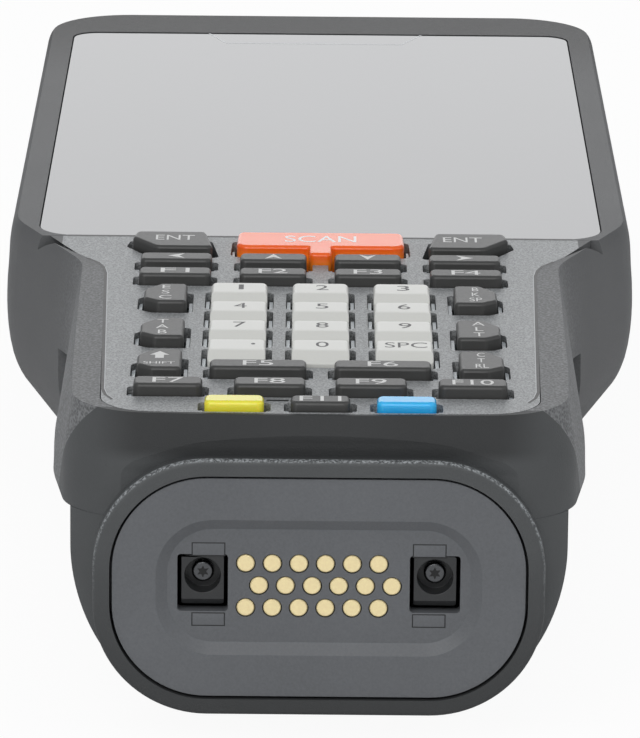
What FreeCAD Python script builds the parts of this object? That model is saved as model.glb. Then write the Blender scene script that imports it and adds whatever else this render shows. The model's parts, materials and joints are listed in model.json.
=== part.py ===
import FreeCAD, Part
import math
import os

V = FreeCAD.Vector

# Sizes are in millimetres. The terminal lies on its back: +Z out of the screen,
# +Y towards the head, the contact end at -Y, the middle of the footprint at the origin.

# Overall
length = 217.0
head_width = 79.0
top_z = 38.6
y_end = -length / 2
y_head = length / 2
head_half = head_width / 2
fit_gap = 0.1
slide_gap = 0.3

# Head outline, seen from above
head_corner_r = 11.0
shoulder_y = y_end + 92.0
shoulder_r = 14.0
neck_y = y_end + 70.5
neck_r = 14.0
end_corner_r = 9.0
grip_y = y_end + 21.0
grip_r = 40.0

# Half widths of the handle in the top plane and how far each swells below it
neck_half = 29.1
neck_swell = 1.4
grip_half = 28.5
grip_swell = 2.4
end_half = 27.8
end_swell = 0.5
strip_depth = 12.3

# Side profile of the head: depth below the top plane and inset from the widest level
head_side = ((0.0, 1.3), (1.0, 0.75), (3.5, 0.3), (8.0, 0.0), (14.5, 0.1), (18.0, 0.8), (20.5, 2.0))
chamfer_depth = 30.6
chamfer_inset = 9.8
frame_depth = 28.0
wall = 2.2
top_wall = 4.0

# Touch window and its seat
window_width = 70.3
window_far_y = y_head - 13.2
window_near_y = y_end + 83.9
window_thick = 1.7
window_far_r = 3.5
window_near_r = 5.0
window_drop = 0.1
seat_depth = 1.8
seat_ledge = 2.2
display_thick = 2.6

# Keypad plate
line_gap = 0.5
plate_end_y = y_end + 2.1
plate_side_top = 26.2
plate_side_end = 24.7
plate_corner_r = 6.0
plate_ledge = 0.6
plate_thick = seat_depth

# Boot round the contact end
seam_top_y = y_end + 4.3
seam_side_y = y_end + 14.0
seam_side_depth = 12.0
seam_low_y = y_end + 16.0
seam_low_depth = 17.0
lip_y = y_end + 1.3
chin_depth = 5.0
chin_set_back = 1.1
boot_bottom_z = 3.5
boot_edge_r = 4.0
boot_wall = 2.4
boot_end_wall = 3.2

# Rim and contact panel in the end
panel_width = 46.6
panel_height = 25.6
panel_r = 10.7
panel_thick = 3.0
panel_drop = 0.3
panel_gap = 0.3
panel_ledge = 1.6
rim_band = 1.9
rim_edge_r = 0.6
end_centre_z = top_z - 19.9
recess_width = 36.8
recess_height = 15.9
recess_r = 6.5
recess_depth = 0.9
recess_slope = 1.3

# Contacts, pockets and their screws
contact_count = 6
contact_pitch = 3.0
contact_row_pitch = 2.6
contact_r = 1.0
contact_length = 5.0
contact_hole_gap = 0.12
pocket_x = 13.1
pocket_width = 5.7
pocket_height = 6.7
sleeve_width = 4.8
sleeve_height = 6.0
sleeve_depth = 2.4
sleeve_rise = 0.55
sleeve_chamfer = 0.9
sleeve_bore_r = 2.05
sleeve_bore_rise = 0.6
panel_screw_r = 1.25
panel_screw_head = 1.0

# Lower handle, sections across the handle from the boot to inside the head
low_sections = (
    (y_end - 1.0, 28.3, 3.5, 18.0),
    (seam_low_y, 28.4, 3.3, 18.0),
    (y_end + 45.0, 29.6, 1.4, 17.0),
    (neck_y, 29.3, 2.2, 16.0),
    (y_end + 98.0, 25.0, 6.6, 12.0),
)
low_wall = 2.0

# Battery, its bay and latch
battery_half = 21.0
battery_near_y = y_end + 26.0
battery_far_y = y_end + 92.0
battery_top_z = 15.0
battery_edge = 2.5
battery_corner_r = 4.0
bay_roof = 1.8
battery_lift_gap = 0.3
latch_half = 7.0
latch_length = 4.4
latch_height = 3.6
latch_z = 3.9
latch_travel = 2.6
latch_tongue = 2.2
latch_rib = 0.7
latch_set_back = 1.0

# Rear of the head
back_floor = 2.2
bump_half = 25.0
bump_near_y = y_head - 48.0
bump_far_y = y_head - 11.5
bump_draft = 3.5
bump_r = 6.0
bump_edge = 1.2
camera_y = y_head - 64.0
camera_r = 4.0
camera_length = 6.0
camera_ring = 0.9
screw_x = 24.0
screw_ys = (y_head - 56.0, y_head - 112.0)
screw_head_r = 2.1
screw_head = 1.4
screw_shaft_r = 1.0
screw_length = 8.0
boss_r = 3.0

# Side buttons
trigger_y = y_head - 79.0
trigger_length = 30.0
power_y = y_head - 38.0
power_length = 12.0
button_height = 7.0
button_z = top_z - 11.0
button_wall_lean = 0.5
button_depth = 3.2
button_flange = 0.9
button_flange_rim = 1.0

# Scanner in the head's end
scan_width = 32.0
scan_height = 11.0
scan_z = top_z - 12.6
scan_thick = 1.6
scan_drop = 0.5
engine_width = 23.0
engine_length = 15.0
engine_height = 11.0
engine_lens_r = 2.4

# Board and key mat
board_thick = 1.2
board_head_half = 31.0
board_handle_half = 23.0
board_far_y = y_head - 26.0
board_near_y = y_end + 11.0
mat_thick = 1.2
collar_drop = 0.7
collar_thick = 0.4
collar_gap = 0.25

# Keys
key_rise = 1.4
low_key_rise = 1.1
key_travel = 0.7
key_edge = 0.3
key_r = 0.8
side_gap = 0.75
row_gap = 0.35
outer_x = 17.6
inner_x = 5.75
outer_width = 8.7
inner_width = 8.1
bar_depth = 3.6
last_key_depth = 3.2
digit_x = 9.7
digit_width = 6.7
digit_depth = 7.2
digit_pitch = 8.75
digit_facet = 2.4
digit_facet_drop = 1.0
modifier_x = 18.5
modifier_width = 5.1
modifier_depth = 8.4
wide_x = 7.15
wide_width = 11.1
low_outer_x = 17.3
low_outer_width = 7.8
enter_depth = 7.6
enter_outer_x = 23.2
enter_inner_x = 14.2
enter_inner_front_x = 13.2
scan_key_width = 20.7
scan_key_depth = 7.2
scan_key_tongue = 1.35
scan_key_tongue_depth = 3.6

# Rear edge of each key row, from the contact end
enter_y = y_end + 80.8
arrow_y = y_end + 70.15
function_y = y_end + 63.0
digit_y = y_end + 55.6
modifier_ys = (y_end + 54.9, y_end + 38.8, y_end + 24.8)
wide_y = y_end + 20.5
low_y = y_end + 12.85
last_y = y_end + 6.3

nodes = {}


def corner(before, at, after, radius):
    to_before = before.sub(at).normalize()
    to_after = after.sub(at).normalize()
    half_turn = to_before.getAngle(to_after) / 2
    reach = radius / math.tan(half_turn)
    inward = to_before.add(to_after).normalize()
    centre = at.add(inward * (radius / math.sin(half_turn)))
    start = at.add(to_before * reach)
    end = at.add(to_after * reach)
    return start, centre.sub(inward * radius), end


def rounded_wire(points, place):
    """Closed wire through (a, b, radius) corners; place turns a, b into a point."""
    ends = []
    for i, (a, b, radius) in enumerate(points):
        before = place(*points[i - 1][:2])
        after = place(*points[(i + 1) % len(points)][:2])
        at = place(a, b)
        ends.append(corner(before, at, after, radius) if radius > 0 else (at, None, at))
    edges = []
    for i, (start, middle, end) in enumerate(ends):
        if middle is not None:
            edges.append(Part.Arc(start, middle, end).toShape())
        edges.append(Part.LineSegment(end, ends[(i + 1) % len(ends)][0]).toShape())
    return Part.Wire(edges)


def level(z):
    return lambda x, y: V(x, y, z)


def across(y):
    return lambda x, z: V(x, y, z)


def along(x):
    return lambda y, z: V(x, y, z)


def mirrored(half):
    """Adds the left half to the right half's corners, which run from -Y to +Y."""
    left = [(-x, y, r) for x, y, r in reversed(half) if x > 0]
    return half + left


def rect(cx, cy, width, depth, radius):
    w, d = width / 2, depth / 2
    return [
        (cx + w, cy - d, radius),
        (cx + w, cy + d, radius),
        (cx - w, cy + d, radius),
        (cx - w, cy - d, radius),
    ]


def prism(points, place, direction):
    return Part.Face(rounded_wire(points, place)).extrude(direction)


def slab(points, z0, z1):
    return prism(points, level(z0), V(0, 0, z1 - z0))


def box(x0, x1, y0, y1, z0, z1):
    return Part.makeBox(x1 - x0, y1 - y0, z1 - z0, V(x0, y0, z0))


def rod(x, y, z0, z1, radius):
    return Part.makeCylinder(radius, z1 - z0, V(x, y, z0))


def rod_y(x, z, y0, y1, radius):
    return Part.makeCylinder(radius, y1 - y0, V(x, y0, z), V(0, 1, 0))


def mirror_x(shape):
    return shape.mirror(V(0, 0, 0), V(1, 0, 0))


def body_points(depth, inset, shrink=0.0):
    """Outline of the whole housing at a depth below the top plane."""
    down = min(depth / strip_depth, 1.0)
    swell = 1 - (1 - down) ** 2
    side = head_half - inset - shrink
    handle_in = shrink + max(inset - head_side[0][1], 0.0)
    turn_shift = shrink * 0.22
    return mirrored([
        (0.0, lip_y - 0.35 + shrink, 300.0),
        (end_half + end_swell * swell - handle_in, lip_y + 1.3 + shrink, end_corner_r),
        (grip_half + grip_swell * swell - handle_in, grip_y, grip_r),
        (neck_half + neck_swell * swell - handle_in, neck_y + turn_shift, neck_r),
        (side, shoulder_y + turn_shift, shoulder_r),
        (side, y_head - inset - shrink, head_corner_r - shrink),
    ])


def body_wire(depth, inset, shrink=0.0):
    return rounded_wire(body_points(depth, inset, shrink), level(top_z - depth))


def housing_form():
    """The outside of the frame and shoulders, down to the flat back of the head."""
    upper = Part.makeLoft([body_wire(d, i) for d, i in head_side], True, False)
    last_depth, last_inset = head_side[-1]
    upper_wire = body_wire(last_depth, last_inset)
    lower_wire = body_wire(chamfer_depth, chamfer_inset)
    chamfer = Part.makeLoft([upper_wire, lower_wire], True, True)
    return upper.fuse(chamfer)


def housing_cavity():
    last_depth, last_inset = head_side[-1]
    stations = [
        (top_wall, 0.0),
        (14.5, 0.0),
        (last_depth, last_inset),
        (chamfer_depth + 2.0, chamfer_inset + 1.6),
    ]
    return Part.makeLoft([body_wire(d, i, wall) for d, i in stations], True, True)


def low_section(y, half, bottom, radius, shrink=0.0):
    points = [
        (half - shrink, bottom + shrink, radius - shrink),
        (half - shrink, top_z - strip_depth, 0.0),
        (-half + shrink, top_z - strip_depth, 0.0),
        (-half + shrink, bottom + shrink, radius - shrink),
    ]
    return rounded_wire(points, across(y))


def low_handle(shrink=0.0):
    return Part.makeLoft([low_section(*s, shrink) for s in low_sections], True, False)


def boot_region():
    """Everything on the contact side of the boot's seam."""
    points = [
        (y_end - 2.0, top_z + 1.0, 0.0),
        (y_end - 2.0, -1.0, 0.0),
        (seam_low_y, -1.0, 0.0),
        (seam_low_y, top_z - seam_low_depth, 6.0),
        (seam_side_y, top_z - seam_side_depth, 4.0),
        (seam_top_y - 0.8, top_z + 1.0, 0.0),
    ]
    return prism(points, along(-head_half), V(head_width, 0, 0))


def window_points(grow=0.0):
    half = window_width / 2 + grow
    return mirrored([
        (half, window_near_y - grow, window_near_r + grow),
        (half, window_far_y + grow, window_far_r + grow),
    ])


def plate_points(shrink=0.0):
    """The seam between plate and side strips runs parallel to the outer edge."""
    return mirrored([
        (0.0, plate_end_y - 0.3 + shrink, 300.0),
        (plate_side_end - shrink, plate_end_y + 0.9 + shrink, plate_corner_r),
        (plate_side_top - shrink, neck_y - 2.2, 10.0),
        (window_width / 2 - shrink, window_near_y - line_gap - shrink, 0.0),
    ])


def racetrack(width, height, radius, grow=0.0):
    return rect(0.0, end_centre_z, width + 2 * grow, height + 2 * grow, radius + grow)


def key_outline(x, rear_y, width, depth):
    return rect(x, rear_y - depth / 2, width, depth, key_r)


def modifier_outline(sign, rear_y):
    """Side keys are narrower on their outer side, with the rear outer corner cut most."""
    inner = sign * (modifier_x - modifier_width / 2)
    outer = sign * (modifier_x + modifier_width / 2)
    front = rear_y - modifier_depth
    points = [
        (inner, front, 0.6),
        (inner + sign * 3.4, front, 0.8),
        (outer, front + 1.5, 0.8),
        (outer, rear_y - 2.7, 0.8),
        (outer - sign * 1.9, rear_y, 0.8),
        (inner, rear_y, 0.6),
    ]
    return points if sign > 0 else points[::-1]


def enter_outline(sign):
    """Enter keys have a long cut on the front outer corner."""
    front = enter_y - enter_depth
    points = [
        (sign * enter_inner_front_x, front, 0.7),
        (sign * (enter_outer_x - 3.0), front, 1.2),
        (sign * enter_outer_x, enter_y - 3.0, 1.0),
        (sign * (enter_outer_x - 0.4), enter_y, 0.8),
        (sign * enter_inner_x, enter_y, 0.7),
    ]
    return points if sign > 0 else points[::-1]


def scan_key_outline():
    """The scan key is wide, with a tongue that runs between the up and down arrows."""
    front = enter_y - scan_key_depth
    half = scan_key_width / 2
    return [
        (half, front, 1.5),
        (half - 0.2, enter_y, 0.9),
        (-half + 0.2, enter_y, 0.9),
        (-half, front, 1.5),
        (-scan_key_tongue - 0.1, front, 0.3),
        (-scan_key_tongue, front - scan_key_tongue_depth, 0.6),
        (scan_key_tongue, front - scan_key_tongue_depth, 0.6),
        (scan_key_tongue + 0.1, front, 0.3),
    ]


def bounds_of(points):
    xs = [p[0] for p in points]
    ys = [p[1] for p in points]
    return min(xs), max(xs), min(ys), max(ys)


def key_list():
    """Name, outline, rise above the plate and form of every key."""
    keys = []
    for side, sign in (("left", -1), ("right", 1)):
        keys.append(("enter_key_" + side, enter_outline(sign), key_rise, "flat"))
    keys.append(("scan_key", scan_key_outline(), key_rise, "flat"))
    bars = (-outer_x, -inner_x, inner_x, outer_x)
    widths = (outer_width, inner_width, inner_width, outer_width)
    for name, x, width in zip(("left", "up", "down", "right"), bars, widths):
        keys.append(("arrow_key_" + name, key_outline(x, arrow_y, width, bar_depth), key_rise, "flat"))
    for number, (x, width) in enumerate(zip(bars, widths), 1):
        keys.append(("f%d_key" % number, key_outline(x, function_y, width, bar_depth), key_rise, "flat"))
    digit_names = (("1", "2", "3"), ("4", "5", "6"), ("7", "8", "9"), ("dot", "0", "space"))
    for row, names in enumerate(digit_names):
        for column, name in enumerate(names):
            x = (column - 1) * digit_x
            outline = key_outline(x, digit_y - row * digit_pitch, digit_width, digit_depth)
            keys.append(("digit_key_" + name, outline, key_rise, "facet"))
    for names, sign in ((("escape", "tab", "shift"), -1), (("backspace", "alt", "control"), 1)):
        for name, rear_y in zip(names, modifier_ys):
            keys.append((name + "_key", modifier_outline(sign, rear_y), key_rise, "flat"))
    for number, x in ((5, -wide_x), (6, wide_x)):
        keys.append(("f%d_key" % number, key_outline(x, wide_y, wide_width, bar_depth), key_rise, "flat"))
    lows = (-low_outer_x, -inner_x, inner_x, low_outer_x)
    low_widths = (low_outer_width, inner_width, inner_width, low_outer_width)
    for number, (x, width) in enumerate(zip(lows, low_widths), 7):
        keys.append(("f%d_key" % number, key_outline(x, low_y, width, bar_depth), key_rise, "flat"))
    for name, x in (("yellow_key", -digit_x), ("f11_key", 0.0), ("blue_key", digit_x)):
        keys.append((name, key_outline(x, last_y, digit_width, last_key_depth), low_key_rise, "flat"))
    return keys


def mat_top():
    return top_z - top_wall


def make_key(outline, rise, form):
    bottom = mat_top() + key_travel + 0.1
    top = top_z + rise
    solid = slab(outline, bottom, top)
    x0, x1, y0, y1 = bounds_of(outline)
    if form == "facet":
        facet = [
            (y0 - 1.0, top + 1.0, 0.0),
            (y0 - 1.0, top - digit_facet_drop * (1 + 1 / digit_facet), 0.0),
            (y0 + digit_facet, top, 0.0),
            (y0 + digit_facet, top + 1.0, 0.0),
        ]
        solid = solid.cut(prism(facet, along(x0 - 1.0), V(x1 - x0 + 2.0, 0, 0)))
    top_edges = [e for e in solid.Edges if e.BoundBox.ZMin > top - 0.01]
    return solid.makeChamfer(key_edge, top_edges)


def grown_opening(outline, slack=0.0):
    """A key's opening: wide at its sides, close at its front and rear."""
    middle_x = sum(bounds_of(outline)[:2]) / 2
    middle_y = sum(bounds_of(outline)[2:]) / 2
    across_gap = side_gap - slack
    along_gap = row_gap - slack
    return [
        (x + math.copysign(across_gap, x - middle_x), y + math.copysign(along_gap, y - middle_y), r)
        for x, y, r in outline
    ]


def make_plate(keys):
    plate = slab(plate_points(), top_z - plate_thick, top_z)
    cutters = [slab(grown_opening(k[1]), top_z - plate_thick - 1.0, top_z + 1.0) for k in keys]
    return plate.cut(Part.makeCompound(cutters))


def make_mat(keys):
    """Sheet under the plate, with a collar at both sides of each key."""
    sheet = slab(plate_points(2.0), mat_top() - mat_thick, mat_top())
    base_z = mat_top() - 0.2
    collars = []
    for _, outline, _, _ in keys:
        x0, x1, y0, y1 = bounds_of(outline)
        middle = (y0 + y1) / 2
        reach = (y1 - y0) / 2 * 0.6
        within = slab(grown_opening(outline, fit_gap), base_z, top_z)
        for x in (x0 - collar_gap - collar_thick, x1 + collar_gap):
            collar = box(x, x + collar_thick, middle - reach, middle + reach, base_z, top_z - collar_drop)
            collars.append(collar.common(within))
    return sheet.fuse(collars)


def side_button_cut(y, button_length, grow):
    half = button_length / 2 + grow
    high = button_height / 2 + grow
    return prism(
        [(y - half, button_z - high, 1.5 + grow), (y + half, button_z - high, 1.5 + grow),
         (y + half, button_z + high, 1.5 + grow), (y - half, button_z + high, 1.5 + grow)],
        along(head_half - button_depth - 1.0), V(button_depth + 2.0, 0, 0))


def make_side_button(form, y, button_length):
    """A button flush with the side wall, with a flange behind the wall."""
    face = form.common(side_button_cut(y, button_length, -slide_gap))
    flange_out = head_half - wall - slide_gap - button_wall_lean
    rim = button_flange_rim
    flange = box(flange_out - button_flange, flange_out,
                 y - button_length / 2 - rim, y + button_length / 2 + rim,
                 button_z - button_height / 2 - rim, button_z + button_height / 2 + rim)
    inner = box(0.0, flange_out - button_flange, y - length, y + length, 0.0, top_z)
    return face.cut(inner).fuse(flange)


def make_frame(form, cavity, low):
    """Frame with the seats for window and plate, cut clear of the lower handle."""
    frame = form.cut(cavity)
    below_strips = box(-head_half, head_half, y_end - 5, neck_y + 4.5, -1.0, top_z - strip_depth)
    below_frame = box(-head_half - 1, head_half + 1, y_end - 5, y_head + 1, -1.0, top_z - frame_depth)
    seat_z = top_z - seat_depth
    through_z = mat_top() - mat_thick - fit_gap
    cutters = [
        below_strips, below_frame, low, boot_region(),
        slab(window_points(fit_gap), seat_z, top_z + 1.0),
        slab(window_points(-seat_ledge), through_z, top_z + 1.0),
        slab(plate_points(-fit_gap), seat_z, top_z + 1.0),
        slab(plate_points(plate_ledge), through_z, top_z + 1.0),
        box(-window_width / 2 + window_near_r, window_width / 2 - window_near_r,
            window_near_y - line_gap - 0.2, window_near_y, seat_z, top_z + 1.0),
        side_button_cut(trigger_y, trigger_length, 0.0),
        mirror_x(side_button_cut(trigger_y, trigger_length, 0.0)),
        side_button_cut(power_y, power_length, 0.0),
        prism(rect(0.0, scan_z, scan_width, scan_height, 2.0),
              across(y_head - wall - 2.0), V(0, wall + 4.0, 0)),
    ]
    for cutter in cutters:
        frame = frame.cut(cutter)
    return max(frame.Solids, key=lambda solid: solid.Volume)


def boot_side_profile():
    """Side view of the boot: lip, hollow chin, end face and rounded lower edge."""
    chin_z = top_z - chin_depth
    face_y = lip_y + chin_set_back
    return [
        (lip_y - 0.5, top_z + 1.0, 0.0),
        (lip_y - 0.5, top_z - 0.3, 0.0),
        (face_y - 0.6, chin_z + 1.6, 3.0),
        (face_y, chin_z - 2.0, 3.0),
        (face_y, boot_bottom_z, boot_edge_r),
        (seam_low_y + 5.0, boot_bottom_z - 1.0, 0.0),
        (seam_low_y + 5.0, top_z + 1.0, 0.0),
    ]


def make_boot(form, low):
    upper = form.common(box(-head_half, head_half, y_end - 1, neck_y, top_z - strip_depth, top_z + 1))
    plan = slab(body_points(strip_depth, 0.0), -1.0, top_z + 1.0)
    lower = low.common(plan)
    body = upper.fuse(lower).common(boot_region())
    body = body.common(prism(boot_side_profile(), along(-head_half), V(head_width, 0, 0)))
    rim_points = racetrack(panel_width, panel_height, panel_r, panel_gap + rim_band)
    rim = prism(rim_points, across(y_end), V(0, 7.0, 0))
    front = [e for e in rim.Edges if e.BoundBox.YMax < y_end + 0.01]
    rim = rim.makeFillet(rim_edge_r, front)
    boot = body.fuse(rim)
    inner_y = y_end + boot_end_wall + 2.6
    cavity = low_handle(boot_wall).common(box(-40, 40, inner_y, seam_low_y + 1, -1, top_z))
    upper_cavity = slab(plate_points(plate_ledge + 0.6), top_z - strip_depth - 0.5, top_z - top_wall)
    upper_cavity = upper_cavity.common(box(-40, 40, inner_y, neck_y, -1, top_z))
    cutters = [
        cavity,
        upper_cavity,
        slab(plate_points(-fit_gap), top_z - plate_thick, top_z + 1.0),
        slab(plate_points(plate_ledge), mat_top() - mat_thick - fit_gap, top_z + 1.0),
        prism(racetrack(panel_width, panel_height, panel_r, panel_gap), across(y_end - 1.0),
              V(0, 1.0 + panel_drop + panel_thick, 0)),
        prism(racetrack(panel_width, panel_height, panel_r, -panel_ledge), across(y_end), V(0, 12.0, 0)),
    ]
    for cutter in cutters:
        boot = boot.cut(cutter)
    return boot


def contact_places():
    places = []
    for row in (-1, 0, 1):
        shift = contact_pitch / 4 * (1 if row == 0 else -1)
        for i in range(contact_count):
            x = (i - (contact_count - 1) / 2) * contact_pitch + shift
            places.append((x, end_centre_z + row * contact_row_pitch))
    return places


def make_contact_panel():
    front = y_end + panel_drop
    panel = prism(racetrack(panel_width, panel_height, panel_r), across(front), V(0, panel_thick, 0))
    outer = rounded_wire(racetrack(recess_width, recess_height, recess_r), across(front - 0.01))
    floor = rounded_wire(racetrack(recess_width, recess_height, recess_r, -recess_slope),
                         across(front + recess_depth))
    panel = panel.cut(Part.makeLoft([outer, floor], True, True))
    holes = [rod_y(x, z, front - 1, front + panel_thick + 1, contact_r + contact_hole_gap)
             for x, z in contact_places()]
    for sign in (-1, 1):
        points = rect(sign * pocket_x, end_centre_z + 0.3, pocket_width, pocket_height, 0.4)
        holes.append(prism(points, across(front - 1), V(0, panel_thick + 2, 0)))
    return panel.cut(Part.makeCompound(holes))


def make_contacts():
    face = y_end + panel_drop + recess_depth + 0.05
    pins = []
    for x, z in contact_places():
        pin = rod_y(x, z, face, face + contact_length, contact_r)
        rim = [e for e in pin.Edges if e.BoundBox.YMax < face + 0.01]
        pins.append(pin.makeChamfer(0.12, rim))
    return Part.makeCompound(pins)


def sleeve_face_y():
    return y_end + panel_drop + recess_depth + 0.15


def make_sleeves():
    sleeves = []
    for sign in (-1, 1):
        x = sign * pocket_x
        top = end_centre_z + sleeve_rise + sleeve_height / 2
        block = prism(rect(x, top - sleeve_height / 2, sleeve_width, sleeve_height, 0.3),
                      across(sleeve_face_y()), V(0, sleeve_depth + 1.2, 0))
        wedge = prism([(sleeve_face_y() - 0.1, top - sleeve_height - 0.1, 0.0),
                       (sleeve_face_y() + sleeve_chamfer, top - sleeve_height - 0.1, 0.0),
                       (sleeve_face_y() - 0.1, top - sleeve_height + sleeve_chamfer, 0.0)],
                      along(x - sleeve_width), V(2 * sleeve_width, 0, 0))
        bore = rod_y(x, end_centre_z + sleeve_rise + sleeve_bore_rise, sleeve_face_y() - 1,
                     sleeve_face_y() + sleeve_depth, sleeve_bore_r)
        sleeves.append(block.cut(wedge).cut(bore))
    return Part.makeCompound(sleeves)


def make_panel_screws():
    floor = sleeve_face_y() + sleeve_depth
    screws = []
    for sign in (-1, 1):
        z = end_centre_z + sleeve_rise + sleeve_bore_rise
        head = rod_y(sign * pocket_x, z, floor - panel_screw_head, floor, panel_screw_r)
        rim = [e for e in head.Edges if e.BoundBox.YMax < floor - panel_screw_head + 0.01]
        screws.append(head.makeFillet(0.35, rim))
    return Part.makeCompound(screws)


def bump_wire(z, inset):
    half = bump_half - inset
    points = mirrored([(half, bump_near_y + inset, bump_r), (half, bump_far_y - inset, bump_r)])
    return rounded_wire(points, level(z))


def make_bump(shrink=0.0):
    back_z = top_z - chamfer_depth
    return Part.makeLoft([
        bump_wire(back_z + 0.5, shrink - 0.5),
        bump_wire(bump_edge + shrink, bump_draft + shrink),
        bump_wire(shrink, bump_draft + bump_edge + shrink),
    ], True, True)


def battery_outline(grow):
    middle = (battery_near_y + battery_far_y) / 2
    depth = battery_far_y - battery_near_y
    return rect(0.0, middle, 2 * (battery_half + grow), depth + 2 * grow, battery_corner_r + grow)


def battery_bay():
    return slab(battery_outline(battery_lift_gap), -2.0, battery_top_z + battery_lift_gap)


def make_rear_housing(form, cavity, low, low_inner):
    """Back of the head with its bump, and the lower handle with the battery bay."""
    back_z = top_z - chamfer_depth
    frame_z = top_z - frame_depth
    head_area = box(-head_half, head_half, neck_y + 6.0, y_head + 1, -1.0, frame_z)
    back = form.common(head_area).fuse(make_bump())
    handle = low.cut(boot_region())
    outer = back.fuse(handle)
    head_inner = box(-head_half, head_half, neck_y, y_head, back_z + back_floor, top_z)
    hollow = cavity.common(head_inner)
    handle_inner = low_inner.common(box(-40, 40, seam_low_y - 1, shoulder_y + 8.0, -1, top_z))
    bump_inner = make_bump(low_wall).common(box(-40, 40, neck_y, y_head, 0, back_z + back_floor + 0.5))
    shell = outer.cut(hollow).cut(handle_inner).cut(bump_inner)
    roof = box(-battery_half - bay_roof, battery_half + bay_roof, battery_near_y - bay_roof,
               battery_far_y + bay_roof, back_z - 4.0, battery_top_z + bay_roof)
    roof = roof.common(low)
    shell = shell.fuse(roof).cut(battery_bay())
    g = slide_gap
    latch_y = battery_near_y - latch_set_back
    shell = shell.cut(box(-latch_half - g, latch_half + g, latch_y - latch_length - latch_travel - 0.5,
                          battery_near_y, -1.0, latch_z + latch_height + g))
    bosses = []
    holes = []
    for y in screw_ys:
        for sign in (-1, 1):
            bosses.append(rod(sign * screw_x, y, back_z + 0.5, board_z(), boss_r))
            holes.append(rod(sign * screw_x, y, back_z - 8.0, back_z + screw_head + fit_gap,
                             screw_head_r + fit_gap))
            holes.append(rod(sign * screw_x, y, back_z, back_z + screw_length + 2.0, screw_shaft_r + 0.05))
    pedestal = box(-engine_width / 2, engine_width / 2,
                   y_head - wall - engine_length, y_head - wall - chamfer_inset,
                   back_z + 0.5, scan_z - engine_height / 2)
    shell = shell.fuse(bosses + [pedestal])
    holes.append(rod(0, camera_y, -1.0, back_z + 5.0, camera_r + camera_ring + fit_gap))
    return shell.cut(Part.makeCompound(holes))


def board_z():
    return mat_top() - mat_thick - board_thick


def make_board():
    half = mirrored([
        (board_handle_half, board_near_y, 3.0),
        (board_handle_half, neck_y + 6.0, 3.0),
        (board_head_half, shoulder_y + 6.0, 3.0),
        (board_head_half, board_far_y, 3.0),
    ])
    return slab(half, board_z(), board_z() + board_thick)


def make_display():
    top = top_z - window_drop - window_thick
    return slab(window_points(-seat_ledge - 0.3), top - display_thick, top)


def make_battery():
    body = slab(battery_outline(0.0), 0.0, battery_top_z)
    body = body.makeFillet(battery_edge, [e for e in body.Edges if e.BoundBox.ZMax < 0.01])
    slot = box(-latch_half, latch_half, battery_near_y - 1, battery_near_y + latch_tongue,
               latch_z + 0.9, latch_z + 0.9 + 1.8)
    return body.cut(slot)


def make_latch():
    """Slider with ribs for a finger, drawn back; slid home, its tongue holds the battery's end."""
    far = battery_near_y - latch_set_back - latch_travel
    body = box(-latch_half, latch_half, far - latch_length, far, latch_z, latch_z + latch_height)
    tongue = box(-latch_half + 1, latch_half - 1, far - 1.0, far + latch_set_back + latch_tongue - slide_gap,
                 latch_z + 1.2, latch_z + 2.4)
    ribs = [box(-latch_half + 1, latch_half - 1, far - 0.9 - i * 1.2, far - 0.9 - i * 1.2 + 0.5,
                latch_z - latch_rib, latch_z + 0.2) for i in range(3)]
    return body.fuse([tongue] + ribs)


def make_scan_window():
    return prism(rect(0.0, scan_z, scan_width - 2 * fit_gap, scan_height - 2 * fit_gap, 1.9),
                 across(y_head - scan_drop - scan_thick), V(0, scan_thick, 0))


def make_scan_engine():
    front = y_head - scan_drop - scan_thick - 0.4
    body = box(-engine_width / 2, engine_width / 2, front - engine_length, front - 2.0,
               scan_z - engine_height / 2, scan_z + engine_height / 2 - 1.0)
    lens = rod_y(-5.0, scan_z, front - 3.0, front, engine_lens_r)
    lamp = prism(rect(5.5, scan_z, 8.0, 5.0, 1.0), across(front - 3.0), V(0, 2.6, 0))
    return body.fuse([lens, lamp])


def make_camera():
    back_z = top_z - chamfer_depth
    ring = rod(0, camera_y, back_z - 0.5, back_z + 3.0, camera_r + camera_ring)
    lens = rod(0, camera_y, back_z + 3.0, back_z + camera_length, camera_r)
    hollow = Part.makeCone(camera_r - 0.6, camera_r - 1.8, 1.4, V(0, camera_y, back_z - 0.5))
    return ring.fuse(lens).cut(hollow)


def make_case_screws():
    back_z = top_z - chamfer_depth
    screws = []
    for y in screw_ys:
        for sign in (-1, 1):
            head = rod(sign * screw_x, y, back_z + 0.3, back_z + screw_head, screw_head_r)
            shaft = rod(sign * screw_x, y, back_z + screw_head, back_z + screw_length, screw_shaft_r)
            screws.append(head.fuse(shaft))
    return Part.makeCompound(screws)


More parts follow.
